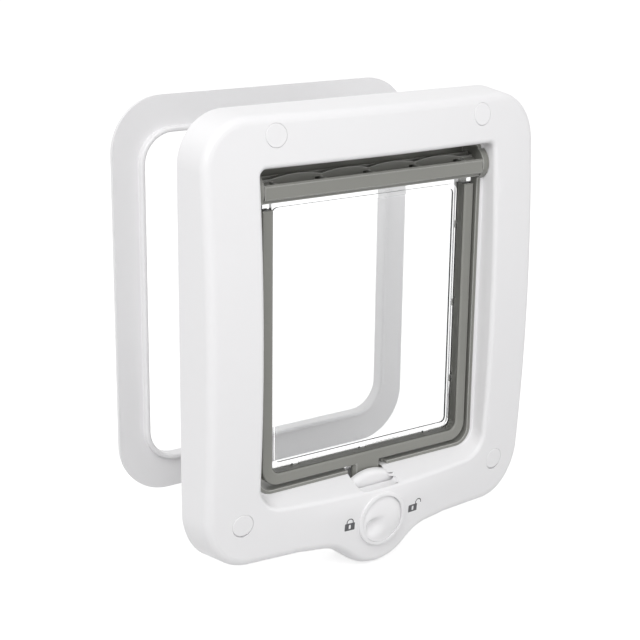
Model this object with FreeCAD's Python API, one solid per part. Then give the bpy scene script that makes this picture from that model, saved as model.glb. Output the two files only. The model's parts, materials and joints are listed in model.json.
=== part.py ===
import FreeCAD, Part
import math
import os
from FreeCAD import Vector

# Cat flap with a rotary lock, for a hole in a door.
# x runs along the door, y goes into the door and z is up. The origin is the middle of the
# opening, on the face of the door, so the room side has negative y. Sizes are millimetres.

# Front frame
FRAME_WIDTH = 213.0
FRAME_HEIGHT = 233.0
FRAME_DEPTH = 32.0
FRAME_CORNER = 26.0
FRAME_LEAN = 2.6
EDGE_ROUND = 5.0
FACE_CROWN_ACROSS = 900.0
FACE_CROWN_UP = 1000.0
WALL = 2.0
RIB_THICKNESS = 1.4
RIB_SPACING = 31.0
RIB_SETBACK = 3.0

# Mouth and tunnel of the front frame
LINER_SETBACK = 16.4
TUNNEL_WIDTH = 144.4
TUNNEL_FROM_TOP = 27.5
TUNNEL_FROM_BOTTOM = 32.9
TUNNEL_CORNER = 10.0
TUNNEL_TOP_CORNER = 4.0
LEDGE = 1.8
MOUTH_FLARE_SIDE = 0.03
MOUTH_FLARE_BOTTOM = 0.57
MOUTH_FLARE_TOP = 0.02
MOUTH_CORNER = 18.0
MOUTH_PAST_FACE = 8.0
LIP_ROUND = 2.2
SPIGOT_LENGTH = 6.0

# Grey liner
LINER_FIT = 0.1
LINER_SIDE = 2.2
LINER_FLOOR = 1.8
LINER_CEILING = 1.6
LINER_INNER_CORNER = 8.0
CHEEK_RADIUS = 9.2
CURTAIN_DEPTH = 1.6
CURTAIN_GAP = 8.4
CURTAIN_DROP = 6.4
TROUGH_WALL = 0.9
TROUGH_BEHIND_TAB = 0.6

# Flap
HINGE_SETBACK = 12.0
HINGE_BELOW_TOP = 12.0
HINGE_PIN_RADIUS = 1.5
HINGE_RUN = 0.05
PIN_IN_HEAD = 7.0
PIN_IN_CHEEK = 1.8
HEAD_SIDE_GAP = 0.5
HEAD_FRONT = 9.0
HEAD_FACE_BELOW = 4.0
HEAD_FACE_ABOVE = 3.2
HEAD_WALL = 1.7
HEAD_FLOOR_BELOW = 1.6
HEAD_UNDER = 6.4
HEAD_EAR_RADIUS = 3.2
ARCH_SPRING = 4.2
ARCH_RISE = 1.8
HEAD_REAR_ABOVE = 5.3
POST_FROM_END = 9.4
POST_COUNT = 5
POST_THICKNESS = 1.2
WINDOW_LENGTH = 3.6
WINDOW_BELOW_ARCH = 1.4
FLAP_SIDE_GAP = 2.2
FLAP_BOTTOM_GAP = 2.2
FLAP_THICKNESS = 9.0
FLAP_MEMBER = 6.0
FLAP_CORNER = 10.0
FLAP_INNER_CORNER = 5.0
FLAP_SIDE_BELOW_HINGE = 10.5
FLAP_EDGE_ROUND = 0.7
PANEL_SETBACK = 5.8
PANEL_THICKNESS = 1.8
PANEL_BITE = 3.0
BEAD_INSET = 2.0
BEAD_WIDTH = 2.3
BEAD_HEIGHT = 1.2
CLIP_LENGTH = 4.0
CLIP_SPACING = 44.0
SHOULDER_WIDTH = 5.0
TAB_WIDTH = 17.6
TAB_BEVEL = 1.6
TAB_DROP = 8.9
TAB_THICKNESS = 3.2

# Rotary lock
LOCK_BELOW_TUNNEL = 24.0
LOCK_FLANGE_RADIUS = 24.8
FRONT_FLANGE_THICKNESS = 4.0
FRONT_FLANGE_GAP = 1.0
FRONT_FLANGE_ROUND = 3.0
REAR_FLANGE_THICKNESS = 2.0
REAR_FLANGE_GAP = 4.0
LOCK_FLAT = 17.5
LOCK_HUB_RADIUS = 7.0
LOCK_CLEARANCE = 0.5
LOBE_WALL_GAP = 0.5
LOBE_LEAN = 1.0
LOBE_FILLET = 45.0
KNOB_RADIUS = 13.0
KNOB_HEIGHT = 2.6
KNOB_EDGE_ROUND = 1.2
GRIP_RISE = 1.7
GRIP_ROUND = 9.0
POINTER_RADIUS = 3.2
POINTER_TIP_RADIUS = 0.6
POINTER_LENGTH = 8.5
POINTER_START = 11.0
POINTER_BELOW_RIDGE = 2.0
KNOB_FLOOR = 0.8
KNOB_GAP = 0.3
KNOB_STEM_RADIUS = 8.0
KNOB_RUN = 0.05
BEZEL_WIDTH = 2.0
BEZEL_HEIGHT = 2.8
BEZEL_ROUND = 1.0
BEZEL_FLOOR = 1.5
CHANNEL_CLEARANCE = 1.0
CHANNEL_SIDE = 4.5
CHANNEL_CORNER = 3.0
CHANNEL_FLOOR = 1.6

# Fasteners and covers
SCREW_TOP_FROM_SIDE = 41.4
SCREW_TOP_FROM_EDGE = 11.5
SCREW_BOTTOM_FROM_SIDE = 22.0
SCREW_BOTTOM_FROM_EDGE = 23.1
CAP_RADIUS = 5.9
CAP_THICKNESS = 1.3
CAP_PROUD = 0.25
CAP_GAP = 0.12
CAP_LEG = 2.6
BOSS_WALL = 2.0
SCREW_HEAD_RADIUS = 4.0
SCREW_HEAD_HEIGHT = 2.6
SCREW_SHANK_RADIUS = 2.0
SCREW_THREAD_RADIUS = 1.75
SCREW_PAST_FRAME = 9.0
SCREW_POINT = 3.6
SCREW_HOLE_GAP = 0.2
LOCK_SCREW_HEAD_RADIUS = 3.2
LOCK_SCREW_HEAD_HEIGHT = 2.2
LOCK_SCREW_RADIUS = 1.5
LOCK_SCREW_BITE = 4.5
SCREW_RECESS_REACH = 0.55
SCREW_RECESS_ARM = 0.4
SOFT_EDGE_PART = 0.3
WASHER_RADIUS = 4.6
WASHER_THICKNESS = 0.8
RECESS_DEPTH = 1.3

# Magnets
MAGNET_LENGTH = 16.0
MAGNET_DEPTH = 4.0
MAGNET_HEIGHT = 4.0
MAGNET_OFFSET = 38.0
MAGNET_WALL = 1.4

# Rear frame
REAR_OFFSET = 78.0
REAR_WIDTH = 197.0
REAR_HEIGHT = 224.0
REAR_CORNER = 30.0
REAR_PLATE = 4.0
REAR_COLLAR_HEIGHT = 3.5
REAR_COLLAR_WALL = 2.8
REAR_OPENING_WIDTH = 160.8
REAR_OPENING_HEIGHT = 184.0
REAR_OPENING_CORNER = 17.0
REAR_EDGE_ROUND = 2.5
REAR_COLLAR_ROUND = 1.2

# Places that several pieces share
TUNNEL_TOP = FRAME_HEIGHT / 2 - TUNNEL_FROM_TOP
TUNNEL_BOTTOM = -FRAME_HEIGHT / 2 + TUNNEL_FROM_BOTTOM
HINGE_HEIGHT = TUNNEL_TOP - HINGE_BELOW_TOP
LEDGE_Y = -LINER_SETBACK
LINER_HALF = TUNNEL_WIDTH / 2 - LINER_FIT
LINER_BORE = LINER_HALF - LINER_SIDE
LINER_INNER_BOTTOM = TUNNEL_BOTTOM + LINER_FIT + LINER_FLOOR
LINER_INNER_TOP = TUNNEL_TOP - LINER_FIT - LINER_CEILING
FLAP_HALF = LINER_BORE - FLAP_SIDE_GAP
FLAP_BOTTOM = LINER_INNER_BOTTOM + FLAP_BOTTOM_GAP
FLAP_FRONT = LEDGE_Y
FLAP_SIDE_TOP = HINGE_HEIGHT - FLAP_SIDE_BELOW_HINGE
PANEL_FRONT = FLAP_FRONT + PANEL_SETBACK
PANEL_BACK = PANEL_FRONT + PANEL_THICKNESS
FLAP_INNER_HALF = FLAP_HALF - FLAP_MEMBER
FLAP_INNER_BOTTOM = FLAP_BOTTOM + FLAP_MEMBER
HEAD_HALF = LINER_BORE - HEAD_SIDE_GAP
POST_SPACING = 2 * (HEAD_HALF - POST_FROM_END) / (POST_COUNT - 1)
HEAD_BOTTOM = HINGE_HEIGHT - HEAD_UNDER
TAB_BOTTOM = FLAP_BOTTOM - TAB_DROP
CHANNEL_HALF = TAB_WIDTH / 2 + CHANNEL_SIDE
CHANNEL_BOTTOM = TAB_BOTTOM - CHANNEL_CLEARANCE - TROUGH_WALL
LOCK_Z = TUNNEL_BOTTOM - LOCK_BELOW_TUNNEL
TAB_BACK = FLAP_FRONT + TAB_THICKNESS
FRONT_FLANGE = FLAP_FRONT - FRONT_FLANGE_GAP - FRONT_FLANGE_THICKNESS
REAR_FLANGE = TAB_BACK + REAR_FLANGE_GAP
FLANGES = ((FRONT_FLANGE, FRONT_FLANGE_THICKNESS), (REAR_FLANGE, REAR_FLANGE_THICKNESS))
ROTOR_END = REAR_FLANGE + REAR_FLANGE_THICKNESS
LOBE_RADIUS = LOCK_FLANGE_RADIUS + LOBE_WALL_GAP + WALL + LOBE_LEAN
SCREW_TOP_X = FRAME_WIDTH / 2 - SCREW_TOP_FROM_SIDE
SCREW_TOP_Z = FRAME_HEIGHT / 2 - SCREW_TOP_FROM_EDGE
SCREW_BOTTOM_X = FRAME_WIDTH / 2 - SCREW_BOTTOM_FROM_SIDE
SCREW_BOTTOM_Z = -FRAME_HEIGHT / 2 + SCREW_BOTTOM_FROM_EDGE
SCREW_PLACES = {
    "top_left": (-SCREW_TOP_X, SCREW_TOP_Z),
    "top_right": (SCREW_TOP_X, SCREW_TOP_Z),
    "bottom_left": (-SCREW_BOTTOM_X, SCREW_BOTTOM_Z),
    "bottom_right": (SCREW_BOTTOM_X, SCREW_BOTTOM_Z),
}
BIG = 400.0


def box(x1, x2, y1, y2, z1, z2):
    return Part.makeBox(x2 - x1, y2 - y1, z2 - z1, Vector(x1, y1, z1))


def disc(x, z, radius, y1, y2):
    return Part.makeCylinder(radius, y2 - y1, Vector(x, y1, z), Vector(0, 1, 0))


def rod(y, z, radius, x1, x2):
    return Part.makeCylinder(radius, x2 - x1, Vector(x1, y, z), Vector(1, 0, 0))


def prism(wire, depth):
    return Part.Face(wire).extrude(Vector(0, depth, 0))


def line(y, a, b):
    return Part.LineSegment(Vector(a[0], y, a[1]), Vector(b[0], y, b[1])).toShape()


def arc(y, centre, radius, start, middle, end):
    """Arc in the plane y between angles in degrees."""
    points = []
    for angle in (start, middle, end):
        turn = math.radians(angle)
        points.append(Vector(centre[0] + radius * math.cos(turn), y, centre[1] + radius * math.sin(turn)))
    return Part.Arc(*points).toShape()


def rounded(y, half, bottom, top, low_corner, high_corner):
    """Rounded rectangle in the plane y, even about x = 0."""
    low, high = low_corner, high_corner
    edges = [
        line(y, (-half + high, top), (half - high, top)),
        arc(y, (half - high, top - high), high, 90, 45, 0),
        line(y, (half, top - high), (half, bottom + low)),
        arc(y, (half - low, bottom + low), low, 0, -45, -90),
        line(y, (half - low, bottom), (-half + low, bottom)),
        arc(y, (-half + low, bottom + low), low, -90, -135, -180),
        line(y, (-half, bottom + low), (-half, top - high)),
        arc(y, (-half + high, top - high), high, 180, 135, 90),
    ]
    return Part.Wire(edges)


def frame_outline(y, inset, lobe_inset):
    """Outline of the front frame with the lobe round the lock, each drawn in by its inset."""
    half = FRAME_WIDTH / 2 - inset
    top = FRAME_HEIGHT / 2 - inset
    corner = FRAME_CORNER
    lobe = LOBE_RADIUS - lobe_inset
    fillet = LOBE_FILLET + inset
    drop = -top - fillet - LOCK_Z
    reach = math.sqrt((lobe + fillet) ** 2 - drop ** 2)
    touch = math.degrees(math.atan2(drop, reach))
    fillet_end = 180 + touch
    edges = [
        line(y, (-half + corner, top), (half - corner, top)),
        arc(y, (half - corner, top - corner), corner, 90, 45, 0),
        line(y, (half, top - corner), (half, -top + corner)),
        arc(y, (half - corner, -top + corner), corner, 0, -45, -90),
        line(y, (half - corner, -top), (reach, -top)),
        arc(y, (reach, -top - fillet), fillet, 90, (90 + fillet_end) / 2, fillet_end),
        arc(y, (0, LOCK_Z), lobe, touch, -90, -180 - touch),
        arc(y, (-reach, -top - fillet), fillet, -touch, (90 - touch) / 2, 90),
        line(y, (-reach, -top), (-half + corner, -top)),
        arc(y, (-half + corner, -top + corner), corner, -90, -135, -180),
        line(y, (-half, -top + corner), (-half, top - corner)),
        arc(y, (-half + corner, top - corner), corner, 180, 135, 90),
    ]
    return Part.Wire(edges)


def loft(first, second):
    return Part.makeLoft([first, second], True, True)


def crowned_block(setback):
    """Everything behind the crowned face, or behind a face set back from it."""
    front = -FRAME_DEPTH + setback
    half = FRAME_WIDTH
    fall = FACE_CROWN_ACROSS - math.sqrt(FACE_CROWN_ACROSS ** 2 - half ** 2)
    left = Vector(-half, front + fall, 0)
    right = Vector(half, front + fall, 0)
    back = FRAME_DEPTH * 2 + fall
    corner_right = Vector(half, back, 0)
    corner_left = Vector(-half, back, 0)
    edges = [
        Part.Arc(left, Vector(0, front, 0), right).toShape(),
        Part.makeLine(right, corner_right),
        Part.makeLine(corner_right, corner_left),
        Part.makeLine(corner_left, left),
    ]
    axis_point = Vector(0, front + FACE_CROWN_UP, 0)
    sweep = math.degrees(math.asin(FRAME_HEIGHT / FACE_CROWN_UP))
    face = Part.Face(Part.Wire(edges))
    face.rotate(axis_point, Vector(1, 0, 0), -sweep)
    return face.revolve(axis_point, Vector(1, 0, 0), 2 * sweep)


def face_y(x, z):
    """Where the crowned face lies at a place on the front."""
    fall = FACE_CROWN_ACROSS - math.sqrt(FACE_CROWN_ACROSS ** 2 - x ** 2)
    radius = FACE_CROWN_UP - fall
    return -FRAME_DEPTH + FACE_CROWN_UP - math.sqrt(radius ** 2 - z ** 2)


def frame_block(inset, setback):
    """Outer form of the front frame, or the same form drawn in by a wall."""
    reach = FRAME_DEPTH + WALL
    part = reach / FRAME_DEPTH
    back = frame_outline(0, inset, inset)
    front = frame_outline(-reach, inset + FRAME_LEAN * part, inset + LOBE_LEAN * part)
    sides = loft(back, front)
    return sides.common(crowned_block(setback))


def edges_on(shape, test):
    return [edge for edge in shape.Edges if test(edge)]


def mouth(grow):
    """Space of the sloped mouth in front of the liner, grown by a wall."""
    reach = FRAME_DEPTH + MOUTH_PAST_FACE - LINER_SETBACK
    half = TUNNEL_WIDTH / 2 + LEDGE + grow
    inner = rounded(LEDGE_Y, half, TUNNEL_BOTTOM - grow, TUNNEL_TOP + grow,
                    TUNNEL_CORNER + grow, TUNNEL_TOP_CORNER + grow)
    outer = rounded(LEDGE_Y - reach, half + reach * MOUTH_FLARE_SIDE,
                    TUNNEL_BOTTOM - grow - reach * MOUTH_FLARE_BOTTOM,
                    TUNNEL_TOP + grow + reach * MOUTH_FLARE_TOP,
                    MOUTH_CORNER + grow, TUNNEL_TOP_CORNER + grow)
    return loft(inner, outer)


def tunnel(grow, end):
    """Space of the tunnel from the liner's front to its end, grown by a wall."""
    wire = rounded(LEDGE_Y, TUNNEL_WIDTH / 2 + grow, TUNNEL_BOTTOM - grow, TUNNEL_TOP + grow,
                   TUNNEL_CORNER + grow, TUNNEL_TOP_CORNER + grow)
    return prism(wire, end - LEDGE_Y)


def lock_slot(start, thickness):
    """Slot in the sill that a flange of the rotor turns through."""
    radius = LOCK_FLANGE_RADIUS + LOCK_CLEARANCE
    ring = disc(0, LOCK_Z, radius, start - LOCK_CLEARANCE, start + thickness + LOCK_CLEARANCE)
    sill = box(-radius, radius, -BIG, BIG, LOCK_Z + LOCK_FLAT - WALL, LOCK_Z + radius)
    return ring.common(sill)


def magnet_box(bottom, wall):
    """Block where a magnet sits, grown by a wall at its sides and top."""
    front = FLAP_FRONT + MAGNET_WALL
    half_length = MAGNET_LENGTH / 2 + wall
    return box(MAGNET_OFFSET - half_length, MAGNET_OFFSET + half_length,
               front - wall, front + MAGNET_DEPTH + wall, bottom, bottom + MAGNET_HEIGHT + wall)


def cap_seat_y(x, z):
    return face_y(abs(x) + CAP_RADIUS, abs(z) + CAP_RADIUS) - CAP_PROUD


def screw_seat_y(x, z):
    return cap_seat_y(x, z) + CAP_THICKNESS + CAP_LEG + SCREW_HEAD_HEIGHT


def frame_ribs():
    """Stiffening ribs between the outer wall and the tunnel wall."""
    top = FRAME_HEIGHT / 2
    half = FRAME_WIDTH / 2
    ribs = []
    for step in (-2, -1, 0, 1, 2):
        x = step * RIB_SPACING
        ribs.append(box(x - RIB_THICKNESS / 2, x + RIB_THICKNESS / 2, -BIG, -RIB_SETBACK, TUNNEL_TOP, top))
        if abs(x) > LOBE_RADIUS:
            ribs.append(box(x - RIB_THICKNESS / 2, x + RIB_THICKNESS / 2, -BIG, -RIB_SETBACK,
                            -top, TUNNEL_BOTTOM))
    for step in (-2, -1, 0, 1, 2):
        z = step * RIB_SPACING
        for side in (-1, 1):
            ends = sorted((side * TUNNEL_WIDTH / 2, side * half))
            ribs.append(box(ends[0], ends[1], -BIG, -RIB_SETBACK, z - RIB_THICKNESS / 2, z + RIB_THICKNESS / 2))
    return ribs


def is_lip(edge):
    """True for the edges where the mouth opens through the crowned face."""
    bounds = edge.BoundBox
    inside_width = max(abs(bounds.XMin), abs(bounds.XMax)) < FRAME_WIDTH / 2 - FRAME_CORNER
    inside_height = max(abs(bounds.ZMin), abs(bounds.ZMax)) < FRAME_HEIGHT / 2 - EDGE_ROUND - WALL
    return inside_width and inside_height and bounds.YMax < LEDGE_Y - WALL


def channel(grow, start):
    """Channel in the sill that the tab swings through, grown by a wall."""
    wire = rounded(start, CHANNEL_HALF + grow, CHANNEL_BOTTOM - grow, TUNNEL_BOTTOM + WALL,
                   CHANNEL_CORNER + grow, WALL / 2)
    return prism(wire, SPIGOT_LENGTH - start)


def front_frame():
    outer = frame_block(0, 0)
    front_rim = edges_on(outer, lambda edge: edge.BoundBox.YMax < -FRAME_DEPTH / 2)
    outer = outer.makeFillet(EDGE_ROUND, front_rim)
    outer = outer.cut(mouth(0))
    outer = outer.makeFillet(LIP_ROUND, edges_on(outer, is_lip))
    knob_face = face_y(0, LOCK_Z)
    bezel_radius = KNOB_RADIUS + KNOB_GAP + BEZEL_WIDTH
    bezel = disc(0, LOCK_Z, bezel_radius, knob_face - BEZEL_HEIGHT, knob_face + WALL)
    bezel = bezel.makeFillet(BEZEL_ROUND,
                             edges_on(bezel, lambda edge: edge.BoundBox.YMax < knob_face - BEZEL_HEIGHT / 2))
    outer = outer.fuse(bezel)
    floor = knob_face + BEZEL_FLOOR

    # What stays inside the shell: the tunnel wall, bosses, ribs and the block under the tab
    inside = [mouth(WALL), tunnel(WALL, SPIGOT_LENGTH)]
    inside.append(channel(CHANNEL_FLOOR, -FRAME_DEPTH))
    inside.append(magnet_box(TUNNEL_BOTTOM - MAGNET_HEIGHT - MAGNET_WALL, MAGNET_WALL))
    inside.append(disc(0, LOCK_Z, KNOB_RADIUS + KNOB_GAP + WALL, -BIG, floor + WALL))
    for x, z in SCREW_PLACES.values():
        inside.append(disc(x, z, CAP_RADIUS + CAP_GAP + BOSS_WALL, -BIG, BIG))
    inside.extend(frame_ribs())
    cavity = frame_block(WALL, WALL).fuse(prism(frame_outline(0, WALL, WALL), WALL))
    for piece in inside:
        cavity = cavity.cut(piece)
    frame = outer.cut(cavity)
    spigot = tunnel(WALL, SPIGOT_LENGTH).common(box(-BIG, BIG, -WALL, BIG, -BIG, BIG))
    frame = frame.fuse(spigot)

    # The way through, the lock's slots and the screw holes
    frame = frame.cut(mouth(0)).cut(tunnel(0, BIG))
    frame = frame.cut(channel(0, -FRAME_DEPTH))
    for start, thickness in FLANGES:
        frame = frame.cut(lock_slot(start, thickness))
    frame = frame.cut(magnet_box(TUNNEL_BOTTOM - MAGNET_HEIGHT, 0))
    frame = frame.cut(disc(0, LOCK_Z, KNOB_RADIUS + KNOB_GAP, -BIG, floor))
    frame = frame.cut(disc(0, LOCK_Z, KNOB_STEM_RADIUS + KNOB_RUN, -BIG, 0))
    for x, z in SCREW_PLACES.values():
        seat = screw_seat_y(x, z)
        frame = frame.cut(disc(x, z, CAP_RADIUS + CAP_GAP, -BIG, cap_seat_y(x, z) + CAP_THICKNESS))
        frame = frame.cut(disc(x, z, SCREW_HEAD_RADIUS + SCREW_HOLE_GAP, -BIG, seat))
        frame = frame.cut(disc(x, z, SCREW_SHANK_RADIUS + SCREW_HOLE_GAP, -BIG, BIG))
    return frame.removeSplitter()


def cap(x, z):
    """Round screw cover that follows the crowned face, with a hollow leg that grips the screw's well."""
    back = cap_seat_y(x, z) + CAP_THICKNESS
    top = disc(x, z, CAP_RADIUS, -FRAME_DEPTH - WALL, back).common(crowned_block(-CAP_PROUD))
    top = top.makeFillet(CAP_THICKNESS * SOFT_EDGE_PART, edges_on(top, lambda edge: edge.BoundBox.YMax < back))
    leg = disc(x, z, SCREW_HEAD_RADIUS, back, back + CAP_LEG)
    leg = leg.cut(disc(x, z, SCREW_HEAD_RADIUS - CAP_THICKNESS, back, BIG))
    return top.fuse(leg).removeSplitter()


def cross_recess(x, z, head_radius, start):
    reach = head_radius * SCREW_RECESS_REACH
    arm = reach * SCREW_RECESS_ARM / 2
    first = box(x - reach, x + reach, start, start + RECESS_DEPTH, z - arm, z + arm)
    second = box(x - arm, x + arm, start, start + RECESS_DEPTH, z - reach, z + reach)
    return first.fuse(second)


def screw(x, z):
    """Pan-head wood screw, head in the boss and tip past the frame."""
    seat = screw_seat_y(x, z)
    start = seat - SCREW_HEAD_HEIGHT
    head = disc(x, z, SCREW_HEAD_RADIUS, start, seat)
    head = head.makeFillet(SCREW_HEAD_HEIGHT * SOFT_EDGE_PART,
                           edges_on(head, lambda edge: edge.BoundBox.YMax < start + SCREW_HEAD_HEIGHT / 2))
    head = head.cut(cross_recess(x, z, SCREW_HEAD_RADIUS, start))
    point_start = SCREW_PAST_FRAME - SCREW_POINT
    shank = disc(x, z, SCREW_SHANK_RADIUS, seat, 0)
    thread = disc(x, z, SCREW_THREAD_RADIUS, 0, point_start)
    point = Part.makeCone(SCREW_THREAD_RADIUS, SCREW_THREAD_RADIUS / 5, SCREW_POINT,
                          Vector(x, point_start, z), Vector(0, 1, 0))
    return head.fuse([shank, thread, point]).removeSplitter()


def opening_liner():
    """Grey lining: a sleeve in the tunnel, the cheeks round the hinge and the curtain behind the head."""
    end = 0.0
    outer = rounded(LEDGE_Y, LINER_HALF, TUNNEL_BOTTOM + LINER_FIT, TUNNEL_TOP - LINER_FIT,
                    TUNNEL_CORNER, TUNNEL_TOP_CORNER)
    hole = rounded(LEDGE_Y, LINER_BORE, LINER_INNER_BOTTOM, LINER_INNER_TOP,
                   LINER_INNER_CORNER, TUNNEL_TOP_CORNER - LINER_CEILING)
    sleeve = prism(outer, end - LEDGE_Y).cut(prism(hole, end - LEDGE_Y))

    # Cheeks that reach forward past the sleeve and carry the hinge pins
    half = TUNNEL_WIDTH / 2 + LEDGE - 2 * LINER_FIT
    cheeks = rod(-HINGE_SETBACK, HINGE_HEIGHT, CHEEK_RADIUS, -half, half)
    cheeks = cheeks.cut(box(-LINER_BORE, LINER_BORE, -BIG, BIG, -BIG, BIG))
    cheeks = cheeks.cut(box(-BIG, BIG, LEDGE_Y, BIG, -BIG, BIG))

    curtain_y = -HINGE_SETBACK + CURTAIN_GAP
    curtain = box(-LINER_BORE - LINER_SIDE / 2, LINER_BORE + LINER_SIDE / 2, curtain_y, curtain_y + CURTAIN_DEPTH,
                  LINER_INNER_TOP - CURTAIN_DROP, TUNNEL_TOP).common(prism(outer, end - LEDGE_Y))
    liner = sleeve.fuse([cheeks, curtain]).removeSplitter()

    # Gap in the floor for the tab, with a trough behind it, and the slots for the lock
    trough_y = TAB_BACK + TROUGH_BEHIND_TAB
    trough_half = CHANNEL_HALF - LINER_FIT
    trough_bottom = CHANNEL_BOTTOM + LINER_FIT
    liner = liner.cut(box(-trough_half, trough_half, -BIG, trough_y, TUNNEL_BOTTOM, LINER_INNER_BOTTOM))
    trough = prism(rounded(trough_y, trough_half, trough_bottom, LINER_INNER_BOTTOM,
                           CHANNEL_CORNER, TROUGH_WALL / 4), end - trough_y)
    way = prism(rounded(trough_y, trough_half - TROUGH_WALL, trough_bottom + TROUGH_WALL,
                        LINER_INNER_BOTTOM + WALL, CHANNEL_CORNER - TROUGH_WALL, TROUGH_WALL / 4), end - trough_y)
    liner = liner.fuse(trough).cut(way).cut(lock_slot(REAR_FLANGE, REAR_FLANGE_THICKNESS)).removeSplitter()
    for side in (-1, 1):
        ends = sorted((side * (LINER_BORE - HEAD_SIDE_GAP), side * (LINER_BORE + PIN_IN_CHEEK)))
        liner = liner.cut(rod(-HINGE_SETBACK, HINGE_HEIGHT, HINGE_PIN_RADIUS + HINGE_RUN, ends[0], ends[1]))
    return liner


def hinge_pin(side):
    ends = sorted((side * (HEAD_HALF - PIN_IN_HEAD), side * (LINER_BORE + PIN_IN_CHEEK - HINGE_RUN)))
    return rod(-HINGE_SETBACK, HINGE_HEIGHT, HINGE_PIN_RADIUS, ends[0], ends[1])


def side_profile(points, x1, x2):
    """Extrudes an outline given as (y, z) pairs along x."""
    corners = [Vector(x1, y, z) for y, z in points]
    wire = Part.makePolygon(corners + [corners[0]])
    return Part.Face(wire).extrude(Vector(x2 - x1, 0, 0))


def flap_head():
    """Hinge bar: front face, ribbed channel, arched wall behind it and the slot for the panel."""
    front = -HINGE_SETBACK - HEAD_FRONT
    face_bottom = HINGE_HEIGHT - HEAD_FACE_BELOW
    face_top = HINGE_HEIGHT + HEAD_FACE_ABOVE
    floor = HINGE_HEIGHT - HEAD_FLOOR_BELOW
    arch_front = PANEL_FRONT - HEAD_WALL
    spring = HINGE_HEIGHT + ARCH_SPRING
    back = PANEL_BACK + HEAD_WALL
    rear_top = HINGE_HEIGHT + HEAD_REAR_ABOVE
    slot_top = floor
    step = HEAD_WALL / 2
    points = [
        (front, face_bottom), (front, face_top - step), (front + step, face_top),
        (front + HEAD_WALL, face_top), (front + HEAD_WALL, floor), (arch_front, floor),
        (arch_front, spring), (PANEL_FRONT, spring), (PANEL_FRONT, slot_top + HEAD_WALL),
        (PANEL_BACK, slot_top + HEAD_WALL), (PANEL_BACK, rear_top), (back, rear_top),
        (back, HEAD_BOTTOM), (PANEL_BACK, HEAD_BOTTOM), (PANEL_BACK, slot_top),
        (PANEL_FRONT, slot_top), (PANEL_FRONT, HEAD_BOTTOM), (front + 3 * step, HEAD_BOTTOM),
        (front + 3 * step, HEAD_BOTTOM + HEAD_WALL), (front + step, HEAD_BOTTOM + HEAD_WALL),
    ]
    head = side_profile(points, -HEAD_HALF, HEAD_HALF)
    pieces = []
    first = -(POST_COUNT - 1) / 2 * POST_SPACING
    for number in range(POST_COUNT):
        x = first + number * POST_SPACING
        pieces.append(box(x - POST_THICKNESS / 2, x + POST_THICKNESS / 2, front + step, arch_front + step,
                          floor - step, face_top - step / 2))
    for number in range(POST_COUNT - 1):
        start = Vector(first + number * POST_SPACING, arch_front, spring)
        end = Vector(first + (number + 1) * POST_SPACING, arch_front, spring)
        crown = Vector((start.x + end.x) / 2, arch_front, spring + ARCH_RISE)
        arch = Part.Wire([Part.Arc(start, crown, end).toShape(), Part.makeLine(end, start)])
        pieces.append(Part.Face(arch).extrude(Vector(0, PANEL_FRONT - arch_front, 0)))
    for side in (-1, 1):
        ends = sorted((side * (HEAD_HALF - PIN_IN_HEAD), side * HEAD_HALF))
        pieces.append(rod(-HINGE_SETBACK, HINGE_HEIGHT, HEAD_EAR_RADIUS, ends[0], ends[1]))
    head = head.fuse(pieces).cut(panel_sheet()).removeSplitter()
    for number in range(POST_COUNT):
        x = first + number * POST_SPACING - POST_THICKNESS / 2
        head = head.cut(box(x - WINDOW_LENGTH, x, arch_front, PANEL_FRONT, slot_top + HEAD_WALL,
                            spring - WINDOW_BELOW_ARCH))
    for side in (-1, 1):
        ends = sorted((side * (HEAD_HALF - PIN_IN_HEAD), side * HEAD_HALF))
        head = head.cut(rod(-HINGE_SETBACK, HINGE_HEIGHT, HINGE_PIN_RADIUS, ends[0], ends[1]))
    return head


def flap_edge_frame():
    """U-shaped edge of the flap with a groove for the panel and the tab that the lock holds."""
    outer = rounded(FLAP_FRONT, FLAP_HALF, FLAP_BOTTOM, FLAP_SIDE_TOP + FLAP_CORNER,
                    FLAP_CORNER, FLAP_CORNER)
    inner = rounded(FLAP_FRONT, FLAP_INNER_HALF, FLAP_INNER_BOTTOM, FLAP_SIDE_TOP + 2 * FLAP_CORNER,
                    FLAP_INNER_CORNER, FLAP_CORNER)
    frame = prism(outer, FLAP_THICKNESS).cut(prism(inner, FLAP_THICKNESS))
    frame = frame.cut(box(-BIG, BIG, -BIG, BIG, FLAP_SIDE_TOP, BIG))
    front_edges = edges_on(frame, lambda edge: edge.BoundBox.YMax < FLAP_FRONT + FLAP_THICKNESS / 4)
    frame = frame.makeFillet(FLAP_EDGE_ROUND, front_edges)
    tab = box(-TAB_WIDTH / 2, TAB_WIDTH / 2, FLAP_FRONT, FLAP_FRONT + TAB_THICKNESS,
              TAB_BOTTOM, FLAP_BOTTOM + FLAP_MEMBER / 2)
    tab = tab.makeChamfer(TAB_BEVEL, edges_on(tab, lambda edge: edge.BoundBox.YMax < FLAP_FRONT + FLAP_EDGE_ROUND
                                              and edge.BoundBox.XLength < FLAP_EDGE_ROUND))
    frame = frame.fuse(tab).removeSplitter()
    frame = frame.cut(panel_sheet())
    return frame.cut(magnet_box(FLAP_BOTTOM, 0))


def panel_sheet():
    half = FLAP_INNER_HALF + PANEL_BITE
    wire = rounded(PANEL_FRONT, half, FLAP_INNER_BOTTOM - PANEL_BITE, HINGE_HEIGHT - HEAD_FLOOR_BELOW,
                   FLAP_INNER_CORNER + PANEL_BITE, PANEL_THICKNESS)
    return prism(wire, PANEL_THICKNESS)


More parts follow.
